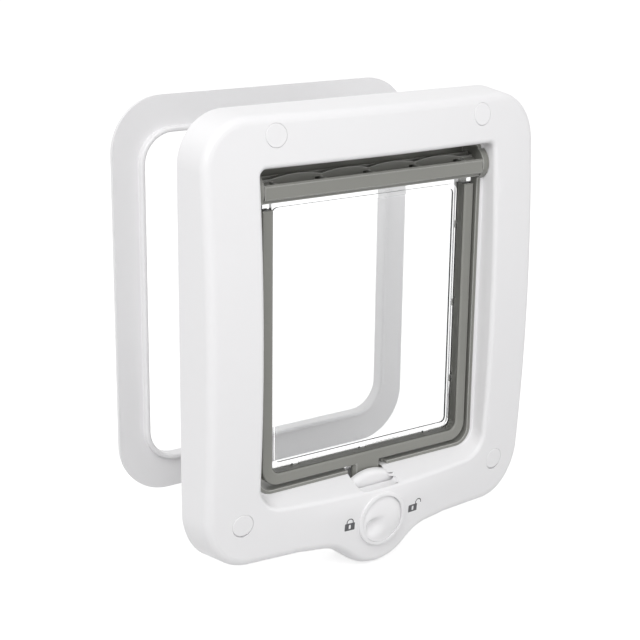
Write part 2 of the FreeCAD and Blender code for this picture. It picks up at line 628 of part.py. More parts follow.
def flap_panel():
    """Clear flap: sheet, raised bead, shoulders under the head and the clips that hold the edge frame."""
    bead_half = FLAP_INNER_HALF - BEAD_INSET
    bead_bottom = FLAP_INNER_BOTTOM + BEAD_INSET
    bead_top = FLAP_SIDE_TOP
    bead_front = PANEL_FRONT - BEAD_HEIGHT
    corner = FLAP_INNER_CORNER - BEAD_INSET / 2
    outer = rounded(bead_front, bead_half, bead_bottom, bead_top, corner, corner)
    inner = rounded(bead_front, bead_half - BEAD_WIDTH, bead_bottom + BEAD_WIDTH, bead_top - BEAD_WIDTH,
                    corner - BEAD_WIDTH / 2, corner - BEAD_WIDTH / 2)
    pieces = [prism(outer, BEAD_HEIGHT).cut(prism(inner, BEAD_HEIGHT))]
    for side in (-1, 1):
        ends = sorted((side * FLAP_INNER_HALF, side * (FLAP_INNER_HALF + SHOULDER_WIDTH)))
        pieces.append(box(ends[0], ends[1], FLAP_FRONT + HEAD_WALL, PANEL_BACK,
                          FLAP_SIDE_TOP, HEAD_BOTTOM))
        for step in (-1, 0, 1):
            z = step * CLIP_SPACING
            clip = sorted((side * bead_half, side * FLAP_INNER_HALF))
            pieces.append(box(clip[0], clip[1], bead_front, PANEL_FRONT, z - CLIP_LENGTH / 2, z + CLIP_LENGTH / 2))
    for step in (-1, 0, 1):
        x = step * CLIP_SPACING
        pieces.append(box(x - CLIP_LENGTH / 2, x + CLIP_LENGTH / 2, bead_front, PANEL_FRONT,
                          FLAP_INNER_BOTTOM, bead_bottom))
    return panel_sheet().fuse(pieces).removeSplitter()


def flap_magnet():
    return magnet_box(FLAP_BOTTOM, 0)


def sill_magnet():
    return magnet_box(TUNNEL_BOTTOM - MAGNET_HEIGHT, 0)


def lock_knob():
    """Knob with a soft ridge across it, a pointer hollow at one end of the ridge, and its stem."""
    base = face_y(0, LOCK_Z) + BEZEL_FLOOR - KNOB_GAP
    shoulder = base - KNOB_HEIGHT
    ridge = shoulder - GRIP_RISE
    stem_end = FRONT_FLANGE - KNOB_GAP
    dial = disc(0, LOCK_Z, KNOB_RADIUS, ridge, base)
    grip = side_profile([(base, -KNOB_RADIUS), (shoulder, -KNOB_RADIUS), (ridge, 0),
                         (shoulder, KNOB_RADIUS), (base, KNOB_RADIUS)], -KNOB_RADIUS, KNOB_RADIUS)
    grip = grip.makeFillet(GRIP_ROUND, edges_on(grip, lambda edge: edge.BoundBox.YMax < shoulder))
    grip.translate(Vector(0, 0, LOCK_Z))
    dial = dial.common(grip)
    rim = edges_on(dial, lambda edge: edge.BoundBox.YMax < base - KNOB_HEIGHT / 2
                   and edge.BoundBox.XLength < 2 * KNOB_RADIUS - WALL)
    dial = dial.makeFillet(KNOB_EDGE_ROUND, rim)
    hollow_y = base - KNOB_FLOOR - POINTER_RADIUS
    hollow = Part.makeCone(POINTER_RADIUS, POINTER_TIP_RADIUS, POINTER_LENGTH,
                           Vector(-POINTER_START, hollow_y, LOCK_Z - POINTER_BELOW_RIDGE), Vector(1, 0, 0))
    knob = dial.cut(hollow).fuse(disc(0, LOCK_Z, KNOB_STEM_RADIUS, base, stem_end))
    return knob.cut(disc(0, LOCK_Z, LOCK_SCREW_RADIUS, stem_end - LOCK_SCREW_BITE, BIG)).removeSplitter()


def lock_rotor():
    """Spool with two flanges, each with a flat, and the groove between them for the tab."""
    start = FRONT_FLANGE - KNOB_GAP
    rotor = disc(0, LOCK_Z, LOCK_HUB_RADIUS, start, ROTOR_END)
    for flange, thickness in FLANGES:
        plate = disc(0, LOCK_Z, LOCK_FLANGE_RADIUS, flange, flange + thickness)
        if thickness > FRONT_FLANGE_ROUND:
            plate = plate.makeFillet(FRONT_FLANGE_ROUND,
                                     edges_on(plate, lambda edge: edge.BoundBox.YMax < flange + SOFT_EDGE_PART))
        plate = plate.cut(box(-BIG, BIG, -BIG, BIG, -BIG, LOCK_Z - LOCK_FLAT))
        rotor = rotor.fuse(plate)
    rotor = rotor.removeSplitter()
    return rotor.cut(disc(0, LOCK_Z, LOCK_SCREW_RADIUS, -BIG, BIG))


def lock_washer():
    washer = disc(0, LOCK_Z, WASHER_RADIUS, ROTOR_END, ROTOR_END + WASHER_THICKNESS)
    return washer.cut(disc(0, LOCK_Z, LOCK_SCREW_RADIUS, -BIG, BIG))


def lock_screw():
    seat = ROTOR_END + WASHER_THICKNESS
    back = seat + LOCK_SCREW_HEAD_HEIGHT
    head = disc(0, LOCK_Z, LOCK_SCREW_HEAD_RADIUS, seat, back)
    head = head.makeFillet(LOCK_SCREW_HEAD_HEIGHT * SOFT_EDGE_PART,
                           edges_on(head, lambda edge: edge.BoundBox.YMin > seat + LOCK_SCREW_HEAD_HEIGHT / 2))
    head = head.cut(cross_recess(0, LOCK_Z, LOCK_SCREW_HEAD_RADIUS, back - RECESS_DEPTH))
    tip = FRONT_FLANGE - KNOB_GAP - LOCK_SCREW_BITE
    return head.fuse(disc(0, LOCK_Z, LOCK_SCREW_RADIUS, tip, seat)).removeSplitter()


def rear_frame():
    """Ring for the far side of the door, with a collar round its opening."""
    plate_y = REAR_OFFSET + REAR_COLLAR_HEIGHT
    back = plate_y + REAR_PLATE
    half = REAR_HEIGHT / 2
    plate = prism(rounded(plate_y, REAR_WIDTH / 2, -half, half, REAR_CORNER, REAR_CORNER), REAR_PLATE)
    plate = plate.makeFillet(REAR_EDGE_ROUND,
                             edges_on(plate, lambda edge: edge.BoundBox.YMin > plate_y + REAR_PLATE / 2))
    opening_half = REAR_OPENING_HEIGHT / 2
    wall = REAR_COLLAR_WALL
    collar = prism(rounded(REAR_OFFSET, REAR_OPENING_WIDTH / 2 + wall, -opening_half - wall, opening_half + wall,
                           REAR_OPENING_CORNER + wall, REAR_OPENING_CORNER + wall), back - REAR_OFFSET)
    hole = prism(rounded(REAR_OFFSET, REAR_OPENING_WIDTH / 2, -opening_half, opening_half,
                         REAR_OPENING_CORNER, REAR_OPENING_CORNER), back - REAR_OFFSET)
    ring = plate.fuse(collar).cut(hole).removeSplitter()
    rim = edges_on(ring, lambda edge: edge.BoundBox.YMax < REAR_OFFSET + REAR_COLLAR_HEIGHT / 2)
    return ring.makeFillet(REAR_COLLAR_ROUND, rim)


def build():
    parts = {
        "front_frame": front_frame(),
        "rear_frame": rear_frame(),
        "opening_liner": opening_liner(),
        "flap_head": flap_head(),
        "flap_panel": flap_panel(),
        "flap_edge_frame": flap_edge_frame(),
        "hinge_pin_left": hinge_pin(-1),
        "hinge_pin_right": hinge_pin(1),
        "flap_magnet": flap_magnet(),
        "sill_magnet": sill_magnet(),
        "lock_knob": lock_knob(),
        "lock_rotor": lock_rotor(),
        "lock_washer": lock_washer(),
        "lock_screw": lock_screw(),
    }
    for place, (x, z) in SCREW_PLACES.items():
        parts["cap_" + place] = cap(x, z)
        parts["screw_" + place] = screw(x, z)
    return parts


os.makedirs("parts", exist_ok=True)
for name, shape in build().items():
    shape.exportStep("parts/" + name + ".step")
    print(name, len(shape.Solids), "solid", round(shape.Volume, 1), "mm3", "valid", shape.isValid())
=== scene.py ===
import json
import math
import bmesh
import bpy
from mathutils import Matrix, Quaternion, Vector


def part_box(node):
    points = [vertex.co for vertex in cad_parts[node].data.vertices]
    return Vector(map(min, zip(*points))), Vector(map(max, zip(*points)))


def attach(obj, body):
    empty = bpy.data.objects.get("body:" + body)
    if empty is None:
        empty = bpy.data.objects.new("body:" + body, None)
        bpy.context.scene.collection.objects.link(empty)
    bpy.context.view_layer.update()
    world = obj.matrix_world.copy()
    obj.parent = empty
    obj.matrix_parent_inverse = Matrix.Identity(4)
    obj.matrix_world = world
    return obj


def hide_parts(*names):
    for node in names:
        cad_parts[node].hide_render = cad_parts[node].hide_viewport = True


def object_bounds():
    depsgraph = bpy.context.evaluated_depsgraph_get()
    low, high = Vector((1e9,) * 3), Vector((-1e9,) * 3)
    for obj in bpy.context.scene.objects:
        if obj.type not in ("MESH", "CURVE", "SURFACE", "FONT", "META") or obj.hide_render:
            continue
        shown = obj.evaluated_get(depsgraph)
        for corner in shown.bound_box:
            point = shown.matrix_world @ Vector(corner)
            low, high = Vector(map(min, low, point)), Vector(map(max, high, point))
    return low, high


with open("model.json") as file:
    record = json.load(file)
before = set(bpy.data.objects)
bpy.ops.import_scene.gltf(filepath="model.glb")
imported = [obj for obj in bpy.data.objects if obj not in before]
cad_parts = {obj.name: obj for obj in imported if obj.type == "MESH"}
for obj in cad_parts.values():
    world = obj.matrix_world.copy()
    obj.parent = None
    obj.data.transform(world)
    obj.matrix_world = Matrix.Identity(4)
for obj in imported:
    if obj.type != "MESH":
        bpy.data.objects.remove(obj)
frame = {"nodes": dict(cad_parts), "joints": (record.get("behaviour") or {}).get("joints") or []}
CAD_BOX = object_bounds()
NODES = frame["nodes"]
JOINT_PLACES = {joint["name"]: joint["pos_m"] for joint in frame["joints"]}

# Camera, worked out from the photo's perspective
CAMERA_YAW = 35.41
CAMERA_PITCH = 16.42
CAMERA_ROLL = 0.70
CAMERA_DISTANCE = 0.76947
CAMERA_AIM = Vector((-0.04031, -0.027, 0.00958))
CAMERA_LENS_MM = 85.82
SENSOR_WIDTH_MM = 36.0
NEAREST_SEEN = 0.01

# Studio lights, as place, width of the disc and power in watts, all turned to the object's middle
STUDIO_LIGHTS = {
    "key": ((-0.94, -0.90, 1.08), 1.2, 15.0),
    "fill": ((1.1, -1.2, 0.3), 1.0, 2.6),
    "back": ((-0.6, 1.2, 1.1), 1.0, 1.5),
}
LIGHTS_AIM = (0.0, 0.0, 0.0)
WORLD_LIGHT = 0.62
WORLD_SEEN = 1.0

# Floor, just under the object
FLOOR_REACH = 6.0
FLOOR_GAP = 0.0005
FLOOR_COLOR = (0.58, 0.58, 0.58)
FLOOR_ROUGHNESS = 0.9
FLOOR_LIFT = 0.72

# Colours as linear values
WHITE_PLASTIC = (0.86, 0.855, 0.865)
GREY_PLASTIC = (0.235, 0.235, 0.215)
# Painted highlight colour for the rounded edges of the grey pieces
GREY_EDGE_HIGHLIGHT = (0.62, 0.62, 0.60)
CLEAR_PLASTIC = (0.985, 0.99, 0.99)
STEEL = (0.56, 0.56, 0.57)
MAGNET = (0.05, 0.05, 0.055)
PRINT_INK = (0.085, 0.085, 0.09)
# Painted shade colour for the inner walls of the flap's edge frame
SHADE_STRIP_DARK = (0.085, 0.085, 0.075)

# Finishes of the moulded pieces, and the painted highlight that makes the rounded edges of the grey ones
# paler
NOISE_MEAN = 0.5
FLOW_DISTORTION = 0.6
PLASTIC_IOR = 1.5
MAGNET_METAL = 0.6
EDGE_RADIUS = 0.0009
EDGE_HIGHLIGHT_AMOUNT = 0.9
EDGE_SAMPLES = 6

# Clear sheet: wiping marks in its gloss, long along z, and a slight waviness
CLEAR_IOR = 1.49
WIPE_SCALE = 60.0
WIPE_LENGTHWISE = 0.25
CLEAR_GLOSS = (0.005, 0.05)
WAVE_SCALE = 14.0
WAVE_STRENGTH = 0.08
WAVE_DEPTH = 0.0002

# Turning marks on the screws and pins
TURNING_SCALE = 1500.0
STEEL_GLOSS = (0.22, 0.42)
TURNING_STRENGTH = 0.15
TURNING_DEPTH = 0.00003

# Crowned face of the front frame, on which the two signs are printed
FACE_Y = -0.032
CROWN_ACROSS = 0.9
CROWN_UP = 1.0
PRINT_LIFT = 0.00004

# Padlock signs: middles of their bodies, the body, its keyhole and its shackle
CLOSED_SIGN = (-0.0208, -0.1078)
OPEN_SIGN = (0.0218, -0.1070)
PADLOCK_WIDTH = 0.0062
PADLOCK_HEIGHT = 0.0043
PADLOCK_CORNER = 0.0004
KEYHOLE_WIDTH = 0.0013
KEYHOLE_HEIGHT = 0.0026
KEYHOLE_CORNER = KEYHOLE_WIDTH * 0.49
SHACKLE_RADIUS = 0.0019
SHACKLE_THICKNESS = 0.00055
SHACKLE_LEG = 0.0006
SHACKLE_OVERLAP = 0.0003
SHACKLE_FREE_END = 0.00012
CORNER_STEPS = 6
SHACKLE_STEPS = 24

# Dial that covers the lock's knob: a soft ridge along x and a thumb hollow at its left end
LOCK_Z = JOINT_PLACES["lock_turn"][2]
DIAL_RADIUS = 0.0131
DIAL_EDGE_Y = -0.0300
DIAL_BACK_Y = -0.0262
DIAL_STEM_RADIUS = 0.0078
DIAL_STEM_END_Y = -0.0218
RIM_HEIGHT = 0.0006
RIM_WIDTH = 0.00012
RIM_STEPS = 6
RIDGE_RISE = 0.0017
RIDGE_ROUND = 1.7
RIDGE_FADE = 6
HOLLOW_PLACE = (-0.0070, -0.0022)
HOLLOW_REACH = (0.0031, 0.0030)
HOLLOW_DEPTH = 0.0031
HOLLOW_ROUND = 1.4
HOLLOW_FADE = 8
HOLLOW_RUNOUT = 0.9
HOLLOW_RUNOUT_SPREAD = 4
DIAL_RINGS = 56
DIAL_STEPS = 144

# Angle in degrees under which the faces of a piece made here are shaded as one surface
SMOOTH_BELOW = 32.0

# Front frame as it is seen: its lower edge beside the lobe stands deeper, its lobe comes forward
# to the knob, and the channel under the flap's tab is narrower
LOWER_EDGE_DROP = 0.0032
LOWER_EDGE_START = -0.0930
LOWER_EDGE_FULL = -0.1165
LOBE_HALF = 0.045
LOBE_FADE = 0.021
LOBE_FORWARD = 0.0038
LOBE_REACH = 0.052
LOBE_START = -0.080
LOBE_FULL = -0.100
BEZEL_KEPT = 0.45
LEDGE_Y = -0.0164
CHANNEL_WALL = 0.0133
CHANNEL_WALL_SEEN = 0.0096
CHANNEL_TOP = -0.0830
# Height up to which the channel walls get the painted shade
CHANNEL_SHADE_TOP = -0.0845
CHANNEL_BOTTOM = -0.0985
SAME_WALL = 0.00002

# Painted shade: a dark strip round the clear sheet, on the inner walls of the flap's edge frame, which lie
# in shade
MEMBER_WIDTH = 0.0060
MEMBER_INNER_CORNER = 0.0050
SHADE_STRIP_THICKNESS = 0.0004
SHADE_STRIP_SUNK = 0.0001
SHADE_STRIP_FRONT_SETBACK = 0.0009
SHADE_STRIP_BACK_SETBACK = 0.0057
SHADE_STRIP_CORNER_STEPS = 12


def new_group(name, inputs, outputs):
    """Empty shader node group with its sockets, the inputs given as (name, socket type, value)."""
    group = bpy.data.node_groups.new(name, "ShaderNodeTree")
    for title, kind, value in inputs:
        socket = group.interface.new_socket(title, in_out="INPUT", socket_type=kind)
        socket.default_value = value
    for title, kind in outputs:
        group.interface.new_socket(title, in_out="OUTPUT", socket_type=kind)
    start = group.nodes.new("NodeGroupInput")
    end = group.nodes.new("NodeGroupOutput")
    return group, start, end


def add_node(tree, kind, **values):
    node = tree.nodes.new(kind)
    for key, value in values.items():
        setattr(node, key, value)
    return node


def add_noise(tree, place, detail):
    noise = add_node(tree, "ShaderNodeTexNoise")
    noise.inputs["Detail"].default_value = detail
    tree.links.new(place, noise.inputs["Vector"])
    return noise


def scaled(tree, source, factor):
    """A value times a number or times another value."""
    node = add_node(tree, "ShaderNodeMath", operation="MULTIPLY")
    tree.links.new(source, node.inputs[0])
    if isinstance(factor, (int, float)):
        node.inputs[1].default_value = factor
    else:
        tree.links.new(factor, node.inputs[1])
    return node.outputs[0]


def spread_between(tree, source, ends):
    """A value from 0 to 1 moved to lie between two ends."""
    spread = add_node(tree, "ShaderNodeMapRange")
    spread.inputs["To Min"].default_value, spread.inputs["To Max"].default_value = ends
    tree.links.new(source, spread.inputs["Value"])
    return spread.outputs["Result"]


def make_moulded_skin():
    """Fine spark-eroded grain of a moulded surface, with soft flow marks in gloss and colour."""
    group, start, end = new_group(
        "moulded_skin",
        [("Color", "NodeSocketColor", (0.8, 0.8, 0.8, 1)), ("Grain Scale", "NodeSocketFloat", 2600.0),
         ("Flow Scale", "NodeSocketFloat", 28.0), ("Roughness", "NodeSocketFloat", 0.4),
         ("Gloss Change", "NodeSocketFloat", 0.08), ("Shade Change", "NodeSocketFloat", 0.03)],
        [("Color", "NodeSocketColor"), ("Roughness", "NodeSocketFloat"), ("Height", "NodeSocketFloat")])
    place = add_node(group, "ShaderNodeTexCoord").outputs["Object"]
    grain = add_noise(group, place, detail=3.0)
    group.links.new(start.outputs["Grain Scale"], grain.inputs["Scale"])
    flow = add_noise(group, place, detail=4.0)
    flow.inputs["Distortion"].default_value = FLOW_DISTORTION
    group.links.new(start.outputs["Flow Scale"], flow.inputs["Scale"])
    centred = add_node(group, "ShaderNodeMath", operation="SUBTRACT")
    group.links.new(flow.outputs["Fac"], centred.inputs[0])
    centred.inputs[1].default_value = NOISE_MEAN
    gloss = add_node(group, "ShaderNodeMath", operation="ADD")
    group.links.new(start.outputs["Roughness"], gloss.inputs[0])
    group.links.new(scaled(group, centred.outputs[0], start.outputs["Gloss Change"]), gloss.inputs[1])
    shade = add_node(group, "ShaderNodeMath", operation="ADD")
    shade.inputs[0].default_value = 1.0
    group.links.new(scaled(group, centred.outputs[0], start.outputs["Shade Change"]), shade.inputs[1])
    tinted = add_node(group, "ShaderNodeVectorMath", operation="SCALE")
    group.links.new(start.outputs["Color"], tinted.inputs[0])
    group.links.new(shade.outputs[0], tinted.inputs["Scale"])
    group.links.new(tinted.outputs[0], end.inputs["Color"])
    group.links.new(gloss.outputs[0], end.inputs["Roughness"])
    group.links.new(grain.outputs["Fac"], end.inputs["Height"])
    return group


def make_soft_edges():
    """Rounded normal at the edges and a mask that is 1 along them."""
    group, start, end = new_group(
        "soft_edges", [("Radius", "NodeSocketFloat", 0.0004), ("Sharpness", "NodeSocketFloat", 6.0)],
        [("Normal", "NodeSocketVector"), ("Edge", "NodeSocketFloat")])
    rounded = add_node(group, "ShaderNodeBevel", samples=EDGE_SAMPLES)
    group.links.new(start.outputs["Radius"], rounded.inputs["Radius"])
    surface = add_node(group, "ShaderNodeNewGeometry")
    match = add_node(group, "ShaderNodeVectorMath", operation="DOT_PRODUCT")
    group.links.new(rounded.outputs["Normal"], match.inputs[0])
    group.links.new(surface.outputs["Normal"], match.inputs[1])
    turned = add_node(group, "ShaderNodeMath", operation="SUBTRACT")
    turned.inputs[0].default_value = 1.0
    group.links.new(match.outputs["Value"], turned.inputs[1])
    edge = add_node(group, "ShaderNodeMath", operation="MULTIPLY", use_clamp=True)
    group.links.new(turned.outputs[0], edge.inputs[0])
    group.links.new(start.outputs["Sharpness"], edge.inputs[1])
    group.links.new(rounded.outputs["Normal"], end.inputs["Normal"])
    group.links.new(edge.outputs[0], end.inputs["Edge"])
    return group


MOULDED_SKIN = make_moulded_skin()
SOFT_EDGES = make_soft_edges()


def new_material(name):
    material = bpy.data.materials.new(name)
    material.use_nodes = True
    tree = material.node_tree
    return material, tree, tree.nodes["Principled BSDF"]


def add_bump(tree, shader, height, strength, depth):
    bump = add_node(tree, "ShaderNodeBump")
    bump.inputs["Strength"].default_value = strength
    bump.inputs["Distance"].default_value = depth
    tree.links.new(height, bump.inputs["Height"])
    tree.links.new(bump.outputs["Normal"], shader.inputs["Normal"])
    return bump


def soften_and_highlight_edges(tree, shader, bump, color_socket, edge_highlight_color):
    """Round the edges in the shading and make them paler with a painted highlight, standing in for the
    light that rounded edges catch.
    """
    edges = add_node(tree, "ShaderNodeGroup", node_tree=SOFT_EDGES)
    edges.inputs["Radius"].default_value = EDGE_RADIUS
    tree.links.new(edges.outputs["Normal"], bump.inputs["Normal"])
    # Painted highlight: along the edges the base colour is mixed toward the paler edge colour
    mix = add_node(tree, "ShaderNodeMix", data_type="RGBA")
    tree.links.new(scaled(tree, edges.outputs["Edge"], EDGE_HIGHLIGHT_AMOUNT), mix.inputs["Factor"])
    tree.links.new(color_socket, mix.inputs["A"])
    mix.inputs["B"].default_value = (*edge_highlight_color, 1)
    tree.links.new(mix.outputs["Result"], shader.inputs["Base Color"])


def moulded_material(name, color, finish, grain_strength, grain_depth, edge_highlight_color=None):
    """Material with the moulded skin, whose sockets take the values of the finish."""
    material, tree, shader = new_material(name)
    shader.inputs["IOR"].default_value = PLASTIC_IOR
    skin = add_node(tree, "ShaderNodeGroup", node_tree=MOULDED_SKIN)
    skin.inputs["Color"].default_value = (*color, 1)
    for key, value in finish.items():
        skin.inputs[key].default_value = value
    tree.links.new(skin.outputs["Color"], shader.inputs["Base Color"])
    tree.links.new(skin.outputs["Roughness"], shader.inputs["Roughness"])
    bump = add_bump(tree, shader, skin.outputs["Height"], grain_strength, grain_depth)
    if edge_highlight_color:
        soften_and_highlight_edges(tree, shader, bump, skin.outputs["Color"], edge_highlight_color)
    return material


def make_white_plastic():
    finish = {"Roughness": 0.36, "Gloss Change": 0.10, "Shade Change": 0.02, "Grain Scale": 2400.0}
    return moulded_material("white_moulded_plastic", WHITE_PLASTIC, finish,
                            grain_strength=0.10, grain_depth=0.00006)


def make_polished_white():
    """The round covers and the dial come from polished tools, so they shine more."""
    finish = {"Roughness": 0.24, "Gloss Change": 0.08, "Shade Change": 0.015, "Grain Scale": 3200.0}
    return moulded_material("white_polished_plastic", WHITE_PLASTIC, finish,
                            grain_strength=0.05, grain_depth=0.00004)


def make_grey_plastic():
    finish = {"Roughness": 0.34, "Gloss Change": 0.16, "Shade Change": 0.10, "Grain Scale": 1900.0,
              "Flow Scale": 45.0}
    return moulded_material("grey_moulded_plastic", GREY_PLASTIC, finish,
                            grain_strength=0.18, grain_depth=0.00008, edge_highlight_color=GREY_EDGE_HIGHLIGHT)


def make_magnet():
    finish = {"Roughness": 0.55, "Gloss Change": 0.2, "Shade Change": 0.3, "Grain Scale": 4000.0}
    material = moulded_material("sintered_magnet", MAGNET, finish, grain_strength=0.5, grain_depth=0.00008)
    material.node_tree.nodes["Principled BSDF"].inputs["Metallic"].default_value = MAGNET_METAL
    return material


def make_ink():
    finish = {"Roughness": 0.5, "Gloss Change": 0.1, "Shade Change": 0.1, "Grain Scale": 5200.0}
    return moulded_material("print_ink", PRINT_INK, finish, grain_strength=0.1, grain_depth=0.00002)


# Dark material that paints shade on the edge frame's inner walls
def make_painted_shade_strip():
    finish = {"Roughness": 0.42, "Gloss Change": 0.15, "Shade Change": 0.15, "Grain Scale": 3000.0}
    return moulded_material("painted_shade_strip", SHADE_STRIP_DARK, finish, grain_strength=0.2, grain_depth=0.00005)


def make_clear_plastic():
    """Clear sheet with a slight waviness and fine wiping marks in its gloss."""
    material, tree, shader = new_material("clear_plastic")
    shader.inputs["Base Color"].default_value = (*CLEAR_PLASTIC, 1)
    shader.inputs["Transmission Weight"].default_value = 1.0
    shader.inputs["IOR"].default_value = CLEAR_IOR
    place = add_node(tree, "ShaderNodeTexCoord").outputs["Object"]
    stretch = add_node(tree, "ShaderNodeMapping")
    stretch.inputs["Scale"].default_value = (1.0, 1.0, WIPE_LENGTHWISE)
    tree.links.new(place, stretch.inputs["Vector"])
    wipe = add_noise(tree, stretch.outputs["Vector"], detail=6.0)
    wipe.inputs["Scale"].default_value = WIPE_SCALE
    tree.links.new(spread_between(tree, wipe.outputs["Fac"], CLEAR_GLOSS), shader.inputs["Roughness"])
    wave = add_noise(tree, place, detail=2.0)
    wave.inputs["Scale"].default_value = WAVE_SCALE
    add_bump(tree, shader, wave.outputs["Fac"], WAVE_STRENGTH, WAVE_DEPTH)
    return material


def make_steel():
    """Zinc-plated steel with fine turning marks."""
    material, tree, shader = new_material("plated_steel")
    shader.inputs["Base Color"].default_value = (*STEEL, 1)
    shader.inputs["Metallic"].default_value = 1.0
    marks = add_noise(tree, add_node(tree, "ShaderNodeTexCoord").outputs["Object"], detail=4.0)
    marks.inputs["Scale"].default_value = TURNING_SCALE
    tree.links.new(spread_between(tree, marks.outputs["Fac"], STEEL_GLOSS), shader.inputs["Roughness"])
    add_bump(tree, shader, marks.outputs["Fac"], TURNING_STRENGTH, TURNING_DEPTH)
    return material


def dress(material, *names):
    """Give CAD nodes their finish."""
    for name in names:
        mesh = NODES[name].data
        mesh.materials.clear()
        mesh.materials.append(material)


def link_object(name, data):
    piece = bpy.data.objects.new(name, data)
    bpy.context.scene.collection.objects.link(piece)
    return piece


def finished_object(name, mesh, smooth=True):
    """Object made of a bmesh, shaded smooth up to the sharp edges."""
    for face in mesh.faces:
        face.smooth = smooth
    data = bpy.data.meshes.new(name)
    mesh.to_mesh(data)
    mesh.free()
    if smooth:
        data.set_sharp_from_angle(angle=math.radians(SMOOTH_BELOW))
    return link_object(name, data)


def smooth_step(value):
    value = min(max(value, 0.0), 1.0)
    return value * value * (3 - 2 * value)


def arc_points(centre, radius, start, end, count):
    points = []
    for number in range(count + 1):
        angle = math.radians(start + (end - start) * number / count)
        points.append((centre[0] + radius * math.cos(angle), centre[1] + radius * math.sin(angle)))
    return points


def face_y(x, z):
    """Where the crowned face of the front frame lies in the CAD."""
    radius = CROWN_UP - (CROWN_ACROSS - math.sqrt(CROWN_ACROSS ** 2 - x ** 2))
    return FACE_Y + CROWN_UP - math.sqrt(radius ** 2 - z ** 2)


def seen_place(point):
    """Where a point of the front frame is seen. The ledge that the flap closes on stays."""
    x, y, z = point
    face = face_y(x, z)
    share = math.exp(-(x / LOBE_REACH) ** 2) * smooth_step((LOBE_START - z) / (LOBE_START - LOBE_FULL))
    forward = LOBE_FORWARD * share
    if y < face:
        seen_y = face - forward - (face - y) * (1 - (1 - BEZEL_KEPT) * share)
    else:
        seen_y = y - forward * max((LEDGE_Y - y) / (LEDGE_Y - face), 0.0)
    low = smooth_step((z - LOWER_EDGE_START) / (LOWER_EDGE_FULL - LOWER_EDGE_START))
    beside = 1 - smooth_step((LOBE_HALF - abs(x)) / LOBE_FADE)
    if abs(x - CHANNEL_WALL) < SAME_WALL and CHANNEL_BOTTOM < z < CHANNEL_TOP:
        x = CHANNEL_WALL_SEEN
    return (x, seen_y, z - LOWER_EDGE_DROP * low * beside)


def front_shell(outside, channel_shade):
    """Front frame in its finish, with painted shade in the channel under the tab, where its white walls
    take the grey material.
    """
    data = NODES["front_frame"].data.copy()
    data.name = "front_shell"
    for vertex in data.vertices:
        vertex.co = seen_place(vertex.co)
    data.materials.clear()
    data.materials.append(outside)
    data.materials.append(channel_shade)
    for face in data.polygons:
        x, y, z = face.center
        # Painted shade: the white channel walls behind the ledge take the grey material, so they are
        # darkened like the shaded channel
        painted_channel_shade = abs(x) < CHANNEL_WALL + SAME_WALL and y > LEDGE_Y and CHANNEL_BOTTOM < z < CHANNEL_SHADE_TOP
        face.material_index = 1 if painted_channel_shade else 0
    return link_object("front_shell", data)


def print_strip(mesh, inner, outer):
    """Strip of faces between two lines of points, just over the front frame's face."""
    rows = []
    for line in (inner, outer):
        row = []
        for x, z in line:
            seen_x, seen_y, seen_z = seen_place((x, face_y(x, z), z))
            row.append(mesh.verts.new((seen_x, seen_y - PRINT_LIFT, seen_z)))
        rows.append(row)
    for number in range(len(inner) - 1):
        mesh.faces.new((rows[0][number], rows[0][number + 1], rows[1][number + 1], rows[1][number]))


def rounded_outline(centre, width, height, corner):
    points = []
    for number, (side_x, side_z) in enumerate(((1, 1), (-1, 1), (-1, -1), (1, -1))):
        middle = (centre[0] + side_x * (width / 2 - corner), centre[1] + side_z * (height / 2 - corner))
        points += arc_points(middle, corner, 90 * number, 90 * number + 90, CORNER_STEPS)
    return points + points[:1]


def shackle_line(middle, radius, right_end, left_end):
    """Line up the right leg, over the bow and down the left leg."""
    bow = arc_points(middle, radius, 0, 180, SHACKLE_STEPS)
    return [(middle[0] + radius, right_end), *bow, (middle[0] - radius, left_end)]


def padlock_sign(name, centre, swung):
    """Printed padlock, closed or with its shackle swung over to the right."""
    mesh = bmesh.new()
    body = rounded_outline(centre, PADLOCK_WIDTH, PADLOCK_HEIGHT, PADLOCK_CORNER)
    keyhole = rounded_outline(centre, KEYHOLE_WIDTH, KEYHOLE_HEIGHT, KEYHOLE_CORNER)
    print_strip(mesh, keyhole, body)
    top = centre[1] + PADLOCK_HEIGHT / 2
    middle = (centre[0] + (2 * SHACKLE_RADIUS if swung else 0.0), top + SHACKLE_LEG)
    left_end = top - SHACKLE_OVERLAP
    right_end = top + SHACKLE_FREE_END if swung else left_end
    half = SHACKLE_THICKNESS / 2
    print_strip(mesh, shackle_line(middle, SHACKLE_RADIUS - half, right_end, left_end),
                shackle_line(middle, SHACKLE_RADIUS + half, right_end, left_end))
    mesh.normal_update()
    for face in mesh.faces:
        if face.normal.y > 0:
            face.normal_flip()
    return finished_object(name, mesh, smooth=False)


def dial_y(x, z):
    """Front surface of the dial, from the places across it, measured from its middle."""
    up = min(abs(z) / DIAL_RADIUS, 1.0)
    out = min(math.hypot(x, z) / DIAL_RADIUS, 1.0)
    ridge = RIDGE_RISE * (1 - up ** RIDGE_ROUND) * (1 - out ** RIDGE_FADE)
    part_x = (x - HOLLOW_PLACE[0]) / HOLLOW_REACH[0]
    part_z = (z - HOLLOW_PLACE[1]) / HOLLOW_REACH[1]
    longer = 1 + HOLLOW_RUNOUT * smooth_step(0.5 + (part_x - part_z) / HOLLOW_RUNOUT_SPREAD)
    from_hollow = (part_x ** 2 + part_z ** 2) / longer ** 2
    hollow = HOLLOW_DEPTH * math.exp(-from_hollow ** HOLLOW_ROUND) * (1 - out ** HOLLOW_FADE)
    return DIAL_EDGE_Y - ridge + hollow


